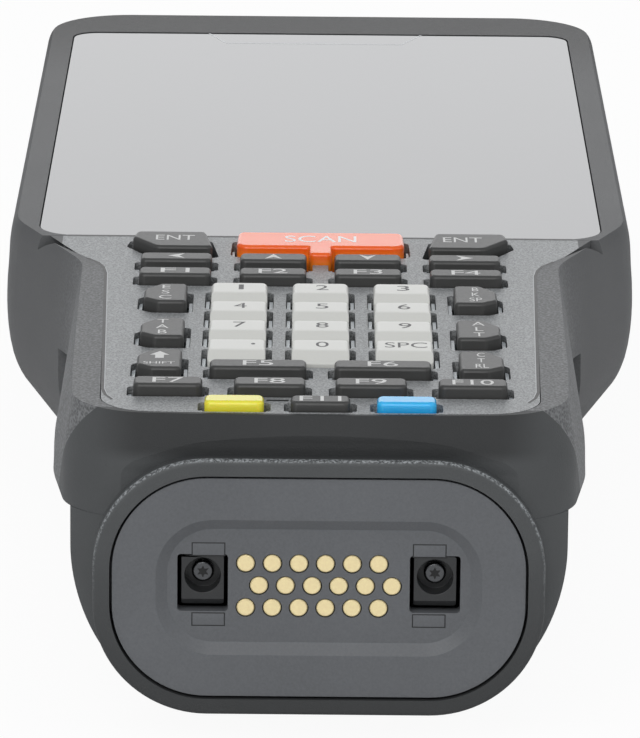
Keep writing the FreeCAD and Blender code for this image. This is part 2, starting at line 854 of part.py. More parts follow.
def build():
    form = housing_form()
    cavity = housing_cavity()
    low = low_handle()
    low_inner = low_handle(low_wall)
    keys = key_list()
    nodes["front_frame"] = make_frame(form, cavity, low)
    nodes["touch_window"] = slab(window_points(), top_z - window_drop - window_thick, top_z - window_drop)
    nodes["display_module"] = make_display()
    nodes["keypad_plate"] = make_plate(keys)
    nodes["keypad_mat"] = make_mat(keys)
    for name, outline, rise, shape_form in keys:
        nodes[name] = make_key(outline, rise, shape_form)
    nodes["main_board"] = make_board()
    nodes["rear_housing"] = make_rear_housing(form, cavity, low, low_inner)
    nodes["end_cap"] = make_boot(form, low)
    nodes["contact_panel"] = make_contact_panel()
    nodes["contact_pins"] = make_contacts()
    nodes["screw_sleeves"] = make_sleeves()
    nodes["panel_screws"] = make_panel_screws()
    nodes["battery_pack"] = make_battery()
    nodes["battery_latch"] = make_latch()
    nodes["right_scan_trigger"] = make_side_button(form, trigger_y, trigger_length)
    nodes["left_scan_trigger"] = mirror_x(nodes["right_scan_trigger"])
    nodes["power_button"] = make_side_button(form, power_y, power_length)
    nodes["scan_window"] = make_scan_window()
    nodes["scan_engine"] = make_scan_engine()
    nodes["rear_camera"] = make_camera()
    nodes["case_screws"] = make_case_screws()


os.makedirs("parts", exist_ok=True)
build()
for name, shape in nodes.items():
    solids = shape.Solids
    print(name, "solids", len(solids), "valid", shape.isValid(), "volume", round(shape.Volume, 2))
    shape.exportStep("parts/" + name + ".step")
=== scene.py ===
import json
import math

import bmesh
import bpy
from mathutils import Matrix, Vector


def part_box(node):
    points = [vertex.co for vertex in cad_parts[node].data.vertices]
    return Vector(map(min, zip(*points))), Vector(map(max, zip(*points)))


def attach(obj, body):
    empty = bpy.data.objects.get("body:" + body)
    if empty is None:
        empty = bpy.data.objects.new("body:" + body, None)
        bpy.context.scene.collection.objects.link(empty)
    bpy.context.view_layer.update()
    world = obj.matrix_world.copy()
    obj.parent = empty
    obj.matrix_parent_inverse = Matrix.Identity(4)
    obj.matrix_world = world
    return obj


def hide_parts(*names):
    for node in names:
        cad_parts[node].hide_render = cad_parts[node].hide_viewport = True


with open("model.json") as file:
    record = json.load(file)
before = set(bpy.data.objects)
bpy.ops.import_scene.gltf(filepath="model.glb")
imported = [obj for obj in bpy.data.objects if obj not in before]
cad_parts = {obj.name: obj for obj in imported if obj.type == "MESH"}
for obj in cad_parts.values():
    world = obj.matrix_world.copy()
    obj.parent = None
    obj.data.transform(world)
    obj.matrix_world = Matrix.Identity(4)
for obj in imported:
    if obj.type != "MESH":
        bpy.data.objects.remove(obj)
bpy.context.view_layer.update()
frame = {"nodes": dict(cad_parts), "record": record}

bl_info = {
    "name": "Barcode data terminal",
    "version": (1, 0, 0),
    "blender": (4, 5, 0),
    "location": "View3D > Sidebar > Terminal",
    "description": "Dresses the packed barcode data terminal with its finishes and key legends",
    "category": "Object",
}

MM = 0.001
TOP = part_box("keypad_plate")[1][2]
CASE = "case"
NODES = frame["nodes"]
BODY_OF = {node: body for body, members in frame["record"]["behaviour"]["bodies"].items()
           for node in members}

DIGITS = ("1", "2", "3", "4", "5", "6", "7", "8", "9", "dot", "0", "space")
ARROWS = ("left", "up", "down", "right")
BLACK_KEYS = (
    "enter_key_left", "enter_key_right", "escape_key", "tab_key", "shift_key", "backspace_key",
    "alt_key", "control_key",
    *("arrow_key_" + way for way in ARROWS),
    *("f%d_key" % number for number in range(1, 12)),
)
STACKED_LEGENDS = {
    "escape_key": "E\nS\nC", "tab_key": "T\nA\nB", "backspace_key": "B\nK\nSP",
    "alt_key": "A\nL\nT", "control_key": "C\nT\nRL",
}

# Corners closer than this merge in a finished copy, and edges flatter than FLAT_ANGLE dissolve.
# Edges sharper than SHARP_ANGLE are rounded, and faces shade smoothly up to SMOOTH_ANGLE.
MERGE_MM = 0.002
FLAT_ANGLE = math.radians(1.0)
SHARP_ANGLE = math.radians(28.0)
SMOOTH_ANGLE = math.radians(50.0)

# How far each print, painted shadow and painted highlight stands above the face it lies on, in
# millimetres.
LETTER_RISE = 0.006
MARK_RISE = 0.008
LINE_RISE = 0.01
GAP_RISE = 0.012
EDGE_RISE = 0.016

# Points and sizes in millimetres: (x, y) on the keypad's face, (x, z) on the neck's webs.
WING_X = 32.0
WING_OVERLAP = 2.0
WING_CUT_POINT = (32.2, -28.6)
WING_CUT_NORMAL = (0.92, -0.39)
WINDOW_LINE = ((-17.0, 98.2), (-13.4, 89.0), (11.5, 89.0), (15.6, 98.2))
WINDOW_GAP = ((-31.4, -24.85), (31.4, -24.85))
MICROPHONE_SLOT = ((-6.1, -100.9), (-3.6, -100.9))
PLATE_SEAM = ((28.6, -36.2), (27.2, -38.4), (26.5, -40.6), (26.15, -43.5), (24.75, -96.5),
              (24.35, -99.0), (23.5, -101.0))
EDGE_INSET = 0.24
EDGE_START = 2
WEB_OUTLINE = ((25.0, 26.2), (30.6, 26.2), (30.6, 19.5), (27.5, 15.5), (25.0, 15.5))
WEB_Y = -33.3
WEB_THICK = 0.8

TAB_X = 12.45
TAB_LEVELS = (4.25, -4.0)
TAB_DEPTH = 0.9
TAB_SIZE = (3.55, 0.08, 1.36)
TAB_GAP_SIZE = (3.8, 0.03, 1.6)
SCREW_RADIUS = 1.25
STAR_POINTS = 6
STAR_TIP = 0.72
STAR_NOTCH = 0.38
STAR_RISE = 0.01

# The stage, in metres and degrees. A light has a name, place, target, width and power in watts.
FLOOR_SIZE = 8.0
FLOOR_DROP = 0.0002
LIGHTS = (
    ("key_light", (-0.5, -1.5, 1.25), (0.0, -0.02, 0.0), 1.5, 20.5),
    ("fill_light", (1.5, -0.6, 1.2), (0.0, 0.0, 0.0), 1.6, 6.0),
    ("far_light", (0.0, 2.2, 0.75), (0.0, 0.0, 0.03), 1.6, 9.4),
)
CAMERA_PLACE = (-0.0017, -0.78285, TOP + 0.1894)
CAMERA_PITCH = 15.23
CAMERA_ROLL = 0.55
CAMERA_YAW = -0.136


class Value:
    """A shader socket with the maths operators."""

    def __init__(self, shader, socket):
        self.shader = shader
        self.socket = socket

    def maths(self, operation, *others):
        return self.shader.node("ShaderNodeMath", {"operation": operation}, (self, *others))

    def __add__(self, other):
        return self.maths("ADD", other)

    def __mul__(self, other):
        return self.maths("MULTIPLY", other)

    def __sub__(self, other):
        return self.maths("SUBTRACT", other)

    def __rsub__(self, other):
        return self.shader.node("ShaderNodeMath", {"operation": "SUBTRACT"}, (other, self))

    __radd__ = __add__
    __rmul__ = __mul__

    def smooth(self, low, high):
        """0 below low, 1 above high, with a soft step between."""
        return self.shader.node("ShaderNodeMapRange", {"interpolation_type": "SMOOTHSTEP"},
                                {"Value": self, "From Min": low, "From Max": high})


class Shader:
    """A material, its nodes and its main shader."""

    def __init__(self, name, colour, roughness=0.5, metallic=0.0, **constants):
        self.material = bpy.data.materials.new(name)
        self.material.use_nodes = True
        self.tree = self.material.node_tree
        self.main = self.tree.nodes["Principled BSDF"]
        self.main.inputs["Base Color"].default_value = (*colour, 1.0)
        self.main.inputs["Roughness"].default_value = roughness
        self.main.inputs["Metallic"].default_value = metallic
        for key, value in constants.items():
            self.main.inputs[key.replace("_", " ")].default_value = value
        self.place = self.node("ShaderNodeTexCoord", output="Object")

    def node(self, kind, settings=None, inputs=(), output=0):
        """A new node's output, from the node's type, its settings and its values or links."""
        made = self.tree.nodes.new(kind)
        for key, value in (settings or {}).items():
            setattr(made, key, value)
        pairs = inputs.items() if isinstance(inputs, dict) else enumerate(inputs)
        for key, value in pairs:
            if isinstance(value, Value):
                self.tree.links.new(value.socket, made.inputs[key])
            else:
                made.inputs[key].default_value = value
        return Value(self, made.outputs[output])

    def feed(self, name, value):
        self.tree.links.new(value.socket, self.main.inputs[name])

    def noise(self, size_mm, detail=3.0, roughness=0.55):
        return self.node("ShaderNodeTexNoise", None,
                         {"Vector": self.place, "Scale": 1.0 / (size_mm * MM), "Detail": detail,
                          "Roughness": roughness})

    def cells(self, size_mm):
        return self.node("ShaderNodeTexVoronoi", None,
                         {"Vector": self.place, "Scale": 1.0 / (size_mm * MM)})

    def axis(self, letter):
        """Object coordinate in millimetres along X, Y or Z."""
        return self.node("ShaderNodeSeparateXYZ", None, (self.place,), output=letter) * (1.0 / MM)

    def mix(self, factor, first, second):
        """The first colour where factor is 0, the second where it is 1."""
        return self.node("ShaderNodeMix", {"data_type": "RGBA"},
                         {0: factor, 6: self.rgb(first), 7: self.rgb(second)}, output=2)

    def rgb(self, colour):
        return colour if isinstance(colour, Value) else (*colour, 1.0)

    def bump(self, height, depth_mm):
        self.feed("Normal", self.node("ShaderNodeBump", None,
                                      {"Strength": 1.0, "Distance": depth_mm * MM,
                                       "Height": height}))


def linear(red, green, blue):
    """A colour seen on screen, 0 to 255, as linear light."""
    parts = (part / 255.0 for part in (red, green, blue))
    return tuple(((part + 0.055) / 1.055) ** 2.4 if part > 0.04045 else part / 12.92
                 for part in parts)


def shade(colour, factor):
    """A darker or lighter colour, no brighter than white."""
    return tuple(min(part * factor, 1.0) for part in colour)


def grained(name, colour, spread, grain_mm, depth_mm, roughness):
    """Moulded plastic or rubber: mottled colour and a fine pebbled grain."""
    shader = Shader(name, colour, roughness)
    grain = shader.noise(grain_mm, 4.0, 0.6)
    cloud = shader.noise(grain_mm * 60.0, 2.0)
    mottle = grain * 0.6 + cloud * 0.4
    shader.feed("Base Color", shader.mix(mottle, shade(colour, 1.0 - spread),
                                         shade(colour, 1.0 + spread)))
    shader.feed("Roughness", grain * 0.16 + (roughness - 0.08))
    shader.bump(grain, depth_mm)
    return shader.material


def frame_finish(settings):
    """Smooth soft-touch head with painted shade darkening its far end, and coarser speckled sides
    on the handle.
    """
    colour = tuple(settings.frame_colour)
    shader = Shader("soft_touch_frame", colour, 0.55)
    along = shader.axis("Y")
    handle = 1.0 - along.smooth(-44.0, -30.0)
    # Painted shade: the head's colour darkens towards its far end.
    painted_far_shade = along.smooth(60.0, 104.0)
    fine = shader.noise(0.25, 4.0, 0.6)
    cloud = shader.noise(14.0, 2.0)
    speckle = shader.cells(0.34) * 0.75 + fine * 0.5
    head = shader.mix(fine * 0.5 + cloud * 0.5, shade(colour, 0.72), shade(colour, 1.3))
    head = shader.mix(painted_far_shade, head, shade(colour, 0.3))
    side = shader.mix(speckle.smooth(0.3, 0.95), shade(colour, 0.8), shade(colour, 2.2))
    shader.feed("Base Color", shader.mix(handle, head, side))
    shader.feed("Roughness", fine * 0.2 + 0.45)
    shader.bump(fine * (1.0 - handle * 0.7) + speckle * handle * 0.8, 0.045)
    return shader.material


def plate_finish(settings):
    """Metallic lacquer with a fine speckle."""
    colour = tuple(settings.plate_colour)
    shader = Shader("speckled_plate", colour, 0.5, 0.2)
    cells = shader.cells(0.24)
    fine = shader.noise(0.2, 3.0, 0.7)
    speckle = (cells * 0.7 + fine * 0.6).smooth(0.25, 0.95)
    shader.feed("Base Color", shader.mix(speckle, shade(colour, 0.55), shade(colour, 1.55)))
    shader.feed("Roughness", fine * 0.3 + 0.32)
    shader.bump(cells * 0.5 + fine, 0.03)
    return shader.material


def glass_finish(settings):
    """Cover glass over an unlit display."""
    colour = tuple(settings.glass_colour)
    shader = Shader("cover_glass", colour, 0.04, IOR=2.2)
    haze = shader.noise(30.0, 2.0)
    shader.feed("Base Color", shader.mix(haze, shade(colour, 0.92), shade(colour, 1.08)))
    shader.feed("Roughness", haze * 0.03 + 0.025)
    return shader.material


def scanner_finish():
    """Deep red glass in front of the scanner."""
    shader = Shader("scanner_glass", linear(60, 8, 12), 0.08, Coat_Weight=1.0)
    tint = shader.noise(8.0, 2.0)
    shader.feed("Base Color", shader.mix(tint, linear(40, 5, 8), linear(80, 10, 15)))
    return shader.material


def gloss_finish(name, colour, painted_low_tone, roughness=0.22):
    """Translucent glossy key plastic with painted light: a painted lower tone near the plate,
    painted as lit towards its top.
    """
    shader = Shader(name, colour, roughness, Coat_Weight=0.1, Coat_Roughness=0.15,
                    Subsurface_Weight=0.2, Subsurface_Scale=0.002)
    # Painted light: the colour runs from the painted lower tone near the plate to the lit colour
    # at the top.
    lit = shader.axis("Z").smooth(TOP / MM - 0.6, TOP / MM + 1.2)
    cloud = shader.noise(5.0, 2.0)
    shader.feed("Base Color", shader.mix(lit * 0.85 + cloud * 0.15, painted_low_tone, colour))
    shader.feed("Roughness", cloud * 0.1 + (roughness - 0.05))
    shader.bump(shader.noise(0.4, 2.0), 0.004)
    return shader.material


def metal_finish(name, colour, roughness, wear_mm, metallic=1.0):
    """Worn metal, or plated metal where metallic is low."""
    shader = Shader(name, colour, roughness, metallic)
    wear = shader.noise(wear_mm, 4.0, 0.6)
    shader.feed("Base Color", shader.mix(wear, shade(colour, 0.85), shade(colour, 1.1)))
    shader.feed("Roughness", wear * 0.2 + (roughness - 0.1))
    shader.bump(wear, 0.004)
    return shader.material


def boot_finish(settings):
    """Dark rubber, with painted shade darkening the chin and the rim's lower part, and a painted
    sparkling highlight along the rim's upper edge.
    """
    colour = tuple(settings.boot_colour)
    shader = Shader("boot_rubber", colour, 0.6)
    along = shader.axis("Y")
    height = shader.axis("Z")
    fine = shader.noise(0.22, 4.0, 0.6)
    cloud = shader.noise(9.0, 2.0)
    rim = 1.0 - along.smooth(-108.1, -106.8)
    # Painted shade: the rim darkens towards its bottom.
    painted_low_rim_shade = rim * (1.0 - height.smooth(2.0, 30.0))
    rim_edge = along.smooth(-108.46, -108.25) - along.smooth(-107.9, -107.5)
    # Painted highlight: sparkling glints along the rim's upper edge, stronger higher up.
    glint_sparkle = shader.noise(0.3, 3.0, 0.7).smooth(0.4, 0.62)
    painted_rim_glint = glint_sparkle * rim_edge * height.smooth(14.0, 31.0)
    flank = shader.axis("X").maths("ABSOLUTE").smooth(20.0, 27.0)
    # Painted shade on the chin, away from the flanks and the rim.
    chin = height.smooth(32.5, 34.5) * (1.0 - flank) * (1.0 - rim)
    base = shader.mix(fine * 0.5 + cloud * 0.5, shade(colour, 0.7), shade(colour, 1.3))
    base = shader.mix(chin * 0.85 + painted_low_rim_shade * 0.75, base, shade(colour, 0.3))
    shader.feed("Base Color", shader.mix(painted_rim_glint * 0.75, base, shade(colour, 7.0)))
    shader.feed("Roughness", fine * 0.2 + 0.48)
    shader.bump(fine + painted_rim_glint * 0.6, 0.035)
    return shader.material


def print_and_painted_light_finish(name, colour):
    """Slightly uneven print, the flat painted shadow of narrow gaps and recesses, and painted edge
    highlights.
    """
    shader = Shader(name, colour, 0.45)
    unevenness = shader.noise(0.3, 3.0)
    shader.feed("Base Color", shader.mix(unevenness, shade(colour, 0.9), colour))
    shader.feed("Roughness", unevenness * 0.2 + 0.35)
    return shader.material


def colour_setting(name, description, default):
    return bpy.props.FloatVectorProperty(name=name, description=description, subtype="COLOR",
                                         size=3, min=0.0, max=1.0, default=default)


class TerminalSettings(bpy.types.PropertyGroup):
    """Colours and sizes that a user would change."""

    frame_colour: colour_setting("Frame", "Soft-touch frame round the screen", linear(84, 85, 86))
    plate_colour: colour_setting("Plate", "Speckled keypad plate", linear(136, 138, 139))
    boot_colour: colour_setting("Boot", "Rubber boot round the contact end", linear(70, 72, 73))
    panel_colour: colour_setting("Panel", "Contact panel in the end", linear(92, 94, 97))
    glass_colour: colour_setting("Glass", "Cover glass over the unlit display", linear(60, 62, 66))
    key_colour: colour_setting("Keys", "Dark keys", linear(60, 60, 59))
    digit_colour: colour_setting("Digit keys", "White digit keys", linear(214, 214, 209))
    legend_height: bpy.props.FloatProperty(
        name="Legend height", description="Height of the printed letters on the keys",
        unit="LENGTH", default=2.4 * MM, min=0.5 * MM, max=5.0 * MM)
    lens: bpy.props.FloatProperty(
        name="Lens", description="Focal length of the camera, in millimetres", default=305.9,
        min=50.0, max=600.0)


class TerminalOperator(bpy.types.Operator):
    """Gives each operator the terminal's settings."""

    bl_options = {"REGISTER", "UNDO"}

    @property
    def sizes(self):
        return bpy.context.scene.terminal


def added(name, operator, **options):
    """The object that an add operator makes, with all else deselected."""
    bpy.ops.object.select_all(action="DESELECT")
    operator(**options)
    piece = bpy.context.object
    piece.name = name
    return piece


def set_material(obj, material):
    obj.data.materials.clear()
    obj.data.materials.append(material)


def dress(names, material):
    """Gives CAD nodes a finish."""
    for name in names:
        set_material(NODES[name], material)


def rounded(piece, width_mm, segments, **limits):
    """Applies a bevel and smooth shading to the active piece."""
    bevel = piece.modifiers.new("rounding", "BEVEL")
    bevel.width = width_mm * MM
    bevel.segments = segments
    for key, value in limits.items():
        setattr(bevel, key, value)
    bpy.ops.object.modifier_apply(modifier=bevel.name)
    bpy.ops.object.shade_smooth_by_angle(angle=SMOOTH_ANGLE)


def softened(node, material, width_mm, segments=2, trim=None):
    """A copy of a CAD node with its edges rounded, which stands for that node."""
    piece = bpy.data.objects.new(node + "_finished", NODES[node].data.copy())
    bpy.context.scene.collection.objects.link(piece)
    bpy.ops.object.select_all(action="DESELECT")
    piece.select_set(True)
    bpy.context.view_layer.objects.active = piece
    bpy.ops.object.mode_set(mode="EDIT")
    bpy.ops.mesh.select_all(action="SELECT")
    bpy.ops.mesh.remove_doubles(threshold=MERGE_MM * MM)
    bpy.ops.mesh.dissolve_limited(angle_limit=FLAT_ANGLE)
    if trim:
        trim()
    bpy.ops.object.mode_set(mode="OBJECT")
    rounded(piece, width_mm, segments, limit_method="ANGLE", angle_limit=SHARP_ANGLE)
    flat = piece.modifiers.new("flat_faces", "WEIGHTED_NORMAL")
    flat.keep_sharp = True
    flat.weight = 100
    bpy.ops.object.modifier_apply(modifier=flat.name)
    set_material(piece, material)
    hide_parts(node)
    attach(piece, BODY_OF[node])
    return piece


def trim_wings():
    """Cuts the plate's wings to the frame's outer edge, and splits them off for their finish."""
    for side in (-1, 1):
        for x in (WING_X - WING_OVERLAP, WING_X):
            bpy.ops.mesh.select_all(action="SELECT")
            bpy.ops.mesh.bisect(plane_co=(side * x * MM, 0.0, 0.0), plane_no=(1.0, 0.0, 0.0))
        mesh = bmesh.from_edit_mesh(bpy.context.object.data)
        for face in mesh.faces:
            face.select = side * face.calc_center_median().x > (WING_X - WING_OVERLAP) * MM
        bmesh.update_edit_mesh(bpy.context.object.data)
        x, y = WING_CUT_POINT
        nx, ny = WING_CUT_NORMAL
        bpy.ops.mesh.bisect(plane_co=(side * x * MM, y * MM, 0.0), plane_no=(side * nx, ny, 0.0),
                            use_fill=True, clear_outer=True)


def key_top(node):
    """Middle and height of a key's top face."""
    low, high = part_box(node)
    return (low[0] + high[0]) / 2, (low[1] + high[1]) / 2, high[2]


def printed(text, name, node, material, width_mm, height_mm, shift=(0.0, 0.0)):
    """Printed lettering of the given size on a key's top, as a thin mesh made from text."""
    x, y, z = key_top(node)
    piece = added(name, bpy.ops.object.text_add, location=(0.0, 0.0, 0.0))
    piece.data.body = text
    piece.data.align_x = "CENTER"
    piece.data.resolution_u = 4
    bpy.ops.object.convert(target="MESH")
    low = Vector(min(v.co[i] for v in piece.data.vertices) for i in range(3))
    high = Vector(max(v.co[i] for v in piece.data.vertices) for i in range(3))
    size = high - low
    scale = Matrix.Diagonal((width_mm * MM / size.x, height_mm * MM / size.y, 1.0, 1.0))
    place = Matrix.Translation((x + shift[0] * MM, y + shift[1] * MM, z + LETTER_RISE * MM))
    piece.data.transform(place @ scale @ Matrix.Translation(-(low + high) / 2))
    set_material(piece, material)
    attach(piece, BODY_OF[node])


def flat_mark(name, node, corners_mm, material, shift=(0.0, 0.0)):
    """A printed flat figure with the given corners, on a key's top."""
    x, y, z = key_top(node)
    piece = added(name, bpy.ops.mesh.primitive_circle_add, vertices=len(corners_mm),
                  radius=1.0 * MM, fill_type="NGON")
    for vertex, (a, b) in zip(piece.data.vertices, corners_mm):
        vertex.co = (x + (a + shift[0]) * MM, y + (b + shift[1]) * MM, z + MARK_RISE * MM)
    set_material(piece, material)
    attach(piece, BODY_OF[node])


def printed_line(name, corners_mm, z, material, width_mm):
    """A thin line through the corners, on a flat face of the case."""
    points = [Vector(corner) for corner in corners_mm]
    piece = added(name, bpy.ops.mesh.primitive_grid_add, x_subdivisions=len(points) - 1,
                  y_subdivisions=1, calc_uvs=False)
    for index, point in enumerate(points):
        before = points[max(index - 1, 0)]
        after = points[min(index + 1, len(points) - 1)]
        along = (after - before).normalized()
        across = Vector((-along.y, along.x)) * width_mm / 2
        for row, corner in enumerate((point - across, point + across)):
            vertex = piece.data.vertices[row * len(points) + index]
            vertex.co = (corner.x * MM, corner.y * MM, z)
    set_material(piece, material)
    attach(piece, CASE)


def seam_lines():
    """Painted shadow in the gaps beside the plate and under the window, with a painted highlight
    along the plate's bright edge.
    """
    gap = print_and_painted_light_finish("gap_shadow", linear(13, 13, 14))
    # Painted highlight: a thin light line along the plate's edge, next to the painted shadow of
    # the gap.
    bright = print_and_painted_light_finish("painted_edge_highlight", linear(190, 192, 194))
    gap_z = TOP + GAP_RISE * MM
    for side in (-1, 1):
        seam = [(side * x, y) for x, y in PLATE_SEAM]
        edge = [(side * (x - EDGE_INSET), y) for x, y in PLATE_SEAM[EDGE_START:]]
        printed_line("seam_gap", seam, gap_z, gap, width_mm=0.36)
        printed_line("painted_seam_highlight", edge, TOP + EDGE_RISE * MM, bright, width_mm=0.09)
    printed_line("window_gap", WINDOW_GAP, gap_z, gap, width_mm=0.7)
    printed_line("microphone_slot", MICROPHONE_SLOT, gap_z, gap, width_mm=0.55)


def neck_webs(material):
    """Walls that close the frame's lower part at the neck."""
    for side in (-1, 1):
        web = added("neck_web", bpy.ops.mesh.primitive_circle_add, vertices=len(WEB_OUTLINE),
                    radius=1.0 * MM, fill_type="NGON", calc_uvs=False)
        for vertex, (x, z) in zip(web.data.vertices, WEB_OUTLINE):
            vertex.co = (side * x * MM, WEB_Y * MM, z * MM)
        bpy.ops.object.mode_set(mode="EDIT")
        bpy.ops.mesh.select_all(action="SELECT")
        bpy.ops.mesh.extrude_region_move(
            TRANSFORM_OT_translate={"value": (0.0, WEB_THICK * MM, 0.0)})
        bpy.ops.mesh.select_all(action="SELECT")
        bpy.ops.mesh.normals_make_consistent(inside=False)
        bpy.ops.object.mode_set(mode="OBJECT")
        set_material(web, material)
        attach(web, CASE)


def small_block(name, middle, size_mm, material, edge_mm):
    """A small moulded block with rounded edges, on the case."""
    piece = added(name, bpy.ops.mesh.primitive_cube_add, size=1.0)
    size = (part * MM for part in size_mm)
    piece.data.transform(Matrix.Translation(middle) @ Matrix.Diagonal((*size, 1.0)))
    rounded(piece, edge_mm, 3)
    set_material(piece, material)
    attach(piece, CASE)


def star_mark(name, x, y, z, material):
    """Six-pointed drive recess, as a dark star of painted shadow just proud of the screw's head.
    """
    piece = added(name, bpy.ops.mesh.primitive_circle_add, vertices=2 * STAR_POINTS, radius=1.0,
                  fill_type="NGON")
    for index, vertex in enumerate(piece.data.vertices):
        reach = (STAR_TIP if index % 2 == 0 else STAR_NOTCH) * MM
        angle = math.pi * index / STAR_POINTS
        vertex.co = (x + reach * math.sin(angle), y - STAR_RISE * MM, z + reach * math.cos(angle))
    bpy.ops.object.mode_set(mode="EDIT")
    bpy.ops.mesh.select_all(action="SELECT")
    bpy.ops.mesh.normals_make_consistent(inside=False)
    bpy.ops.object.mode_set(mode="OBJECT")
    set_material(piece, material)
    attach(piece, CASE)


class TERMINAL_OT_casing(TerminalOperator):
    """Frame, rear housing, boot, battery, triggers and buttons"""

    bl_idname = "terminal.casing"
    bl_label = "Casing"

    def execute(self, context):
        soft = frame_finish(self.sizes)
        dress(["front_frame"], soft)
        neck_webs(soft)
        dress(["rear_housing"], grained("shell_plastic", linear(70, 71, 72), spread=0.25,
                                        grain_mm=0.35, depth_mm=0.04, roughness=0.55))
        battery = grained("battery_plastic", linear(62, 63, 64), spread=0.2, grain_mm=0.3,
                          depth_mm=0.03, roughness=0.5)
        softened("battery_pack", battery, width_mm=0.5)
        dress(["end_cap"], boot_finish(self.sizes))
        latch = grained("latch_plastic", linear(40, 40, 41), spread=0.15, grain_mm=0.3,
                        depth_mm=0.02, roughness=0.5)
        softened("battery_latch", latch, width_mm=0.25)
        dress(["left_scan_trigger", "right_scan_trigger"],
              gloss_finish("trigger_orange", linear(240, 120, 40), linear(200, 80, 20),
                           roughness=0.4))
        dress(["power_button"], latch)
        dress(["case_screws"], metal_finish("screw_steel", linear(120, 121, 123),
                                            roughness=0.35, wear_mm=0.6))
        return {"FINISHED"}


class TERMINAL_OT_screen(TerminalOperator):
    """Window and its printed line, display, board, camera and scanner"""

    bl_idname = "terminal.screen"
    bl_label = "Screen"

    def execute(self, context):
        softened("touch_window", glass_finish(self.sizes), width_mm=0.12)
        dress(["display_module", "scan_engine", "rear_camera"],
              grained("display_black", linear(20, 20, 22), spread=0.1, grain_mm=0.5,
                      depth_mm=0.01, roughness=0.4))
        dress(["main_board"], grained("board_green", linear(30, 90, 55), spread=0.2, grain_mm=2.0,
                                      depth_mm=0.01, roughness=0.4))
        dress(["scan_window"], scanner_finish())
        line = print_and_painted_light_finish("window_line", linear(225, 227, 230))
        face_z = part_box("touch_window")[1][2]
        printed_line("window_line", WINDOW_LINE, face_z + LINE_RISE * MM, line, width_mm=0.3)
        return {"FINISHED"}


class TERMINAL_OT_keypad(TerminalOperator):
    """Plate, silicone mat and keys"""

    bl_idname = "terminal.keypad"
    bl_label = "Keypad"

    def execute(self, context):
        sizes = self.sizes
        plate = softened("keypad_plate", plate_finish(sizes), width_mm=0.08, trim=trim_wings)
        plate.data.materials.append(NODES["front_frame"].data.materials[0])
        for face in plate.data.polygons:
            face.material_index = int(abs(face.center.x) > WING_X * MM)
        seam_lines()
        dress(["keypad_mat"], grained("milky_silicone", linear(215, 222, 226), spread=0.08,
                                      grain_mm=0.6, depth_mm=0.01, roughness=0.35))
        black = grained("black_key_plastic", tuple(sizes.key_colour), spread=0.12, grain_mm=0.3,
                        depth_mm=0.012, roughness=0.42)
        for node in BLACK_KEYS:
            softened(node, black, width_mm=0.16)
        white = grained("white_key_plastic", tuple(sizes.digit_colour), spread=0.04,
                        grain_mm=0.4, depth_mm=0.006, roughness=0.35)
        for digit in DIGITS:
            softened("digit_key_" + digit, white, width_mm=0.22)
        # Each gloss key's colour, then its painted lower tone near the plate.
        colours = {
            "scan_key": (linear(250, 96, 22), linear(255, 146, 44)),
            "yellow_key": (linear(236, 228, 66), linear(226, 216, 52)),
            "blue_key": (linear(48, 184, 242), linear(36, 160, 226)),
        }
        for node, (colour, painted_low_tone) in colours.items():
            gloss = gloss_finish(node + "_gloss", colour, painted_low_tone)
            softened(node, gloss, width_mm=0.3, segments=3)
        return {"FINISHED"}


class TERMINAL_OT_legends(TerminalOperator):
    """Printed letters and figures on the keys"""

    bl_idname = "terminal.legends"
    bl_label = "Legends"

    def execute(self, context):
        tall = self.sizes.legend_height / MM
        white = print_and_painted_light_finish("white_ink", linear(215, 215, 213))
        dark = print_and_painted_light_finish("black_ink", linear(42, 42, 44))
        bright = print_and_painted_light_finish("bright_ink", linear(255, 255, 255))
        for side, across in (("left", 0.3), ("right", -0.7)):
            printed("ENT", "enter_legend_" + side, "enter_key_" + side, white, width_mm=4.8,
                    height_mm=tall, shift=(across, 0.5))
        printed("SCAN", "scan_legend", "scan_key", bright, width_mm=8.8, height_mm=tall * 1.3,
                shift=(0.0, 1.9))
        for number in range(1, 12):
            printed("F%d" % number, "f%d_legend" % number, "f%d_key" % number, white,
                    width_mm=3.5 if number < 10 else 4.7, height_mm=tall * 0.85)
        for digit in DIGITS:
            text = {"dot": ".", "space": "SPC"}.get(digit, digit)
            width = {"dot": 0.5, "space": 4.9, "1": 0.6}.get(digit, 1.5)
            height, across = (0.7, 1.9) if digit == "dot" else (tall * 0.95, 0.2)
            printed(text, "digit_legend_" + digit, "digit_key_" + digit, dark, width_mm=width,
                    height_mm=height, shift=(across, 1.3))
        for node, text in STACKED_LEGENDS.items():
            printed(text, node + "_legend", node, white, width_mm=1.5, height_mm=tall * 2.7)
        printed("SHIFT", "shift_legend", "shift_key", white, width_mm=3.6, height_mm=tall * 0.4,
                shift=(0.0, -2.2))
        return {"FINISHED"}


class TERMINAL_OT_arrows(TerminalOperator):
    """Arrow marks on the arrow keys and the shift key"""

    bl_idname = "terminal.arrows"
    bl_label = "Arrows"

    def execute(self, context):
        white = bpy.data.materials["white_ink"]
        long, half, notch = 1.05, 1.2, 0.35
        corners = {
            "left": ((-long, 0.0), (long, -half), (notch, 0.0), (long, half)),
            "right": ((long, 0.0), (-long, half), (-notch, 0.0), (-long, -half)),
            "up": ((0.0, half), (-long, -half), (0.0, -notch), (long, -half)),
            "down": ((0.0, -half), (long, half), (0.0, notch), (-long, half)),
        }
        for way, points in corners.items():
            flat_mark("arrow_mark_" + way, "arrow_key_" + way, points, white)
        tip, base, foot, stem, head = 1.7, 0.1, -1.3, 0.5, 1.15
        arrow = ((0.0, tip), (-head, base), (-stem, base), (-stem, foot), (stem, foot),
                 (stem, base), (head, base))
        flat_mark("shift_mark", "shift_key", arrow, white, shift=(0.0, 1.1))
        return {"FINISHED"}


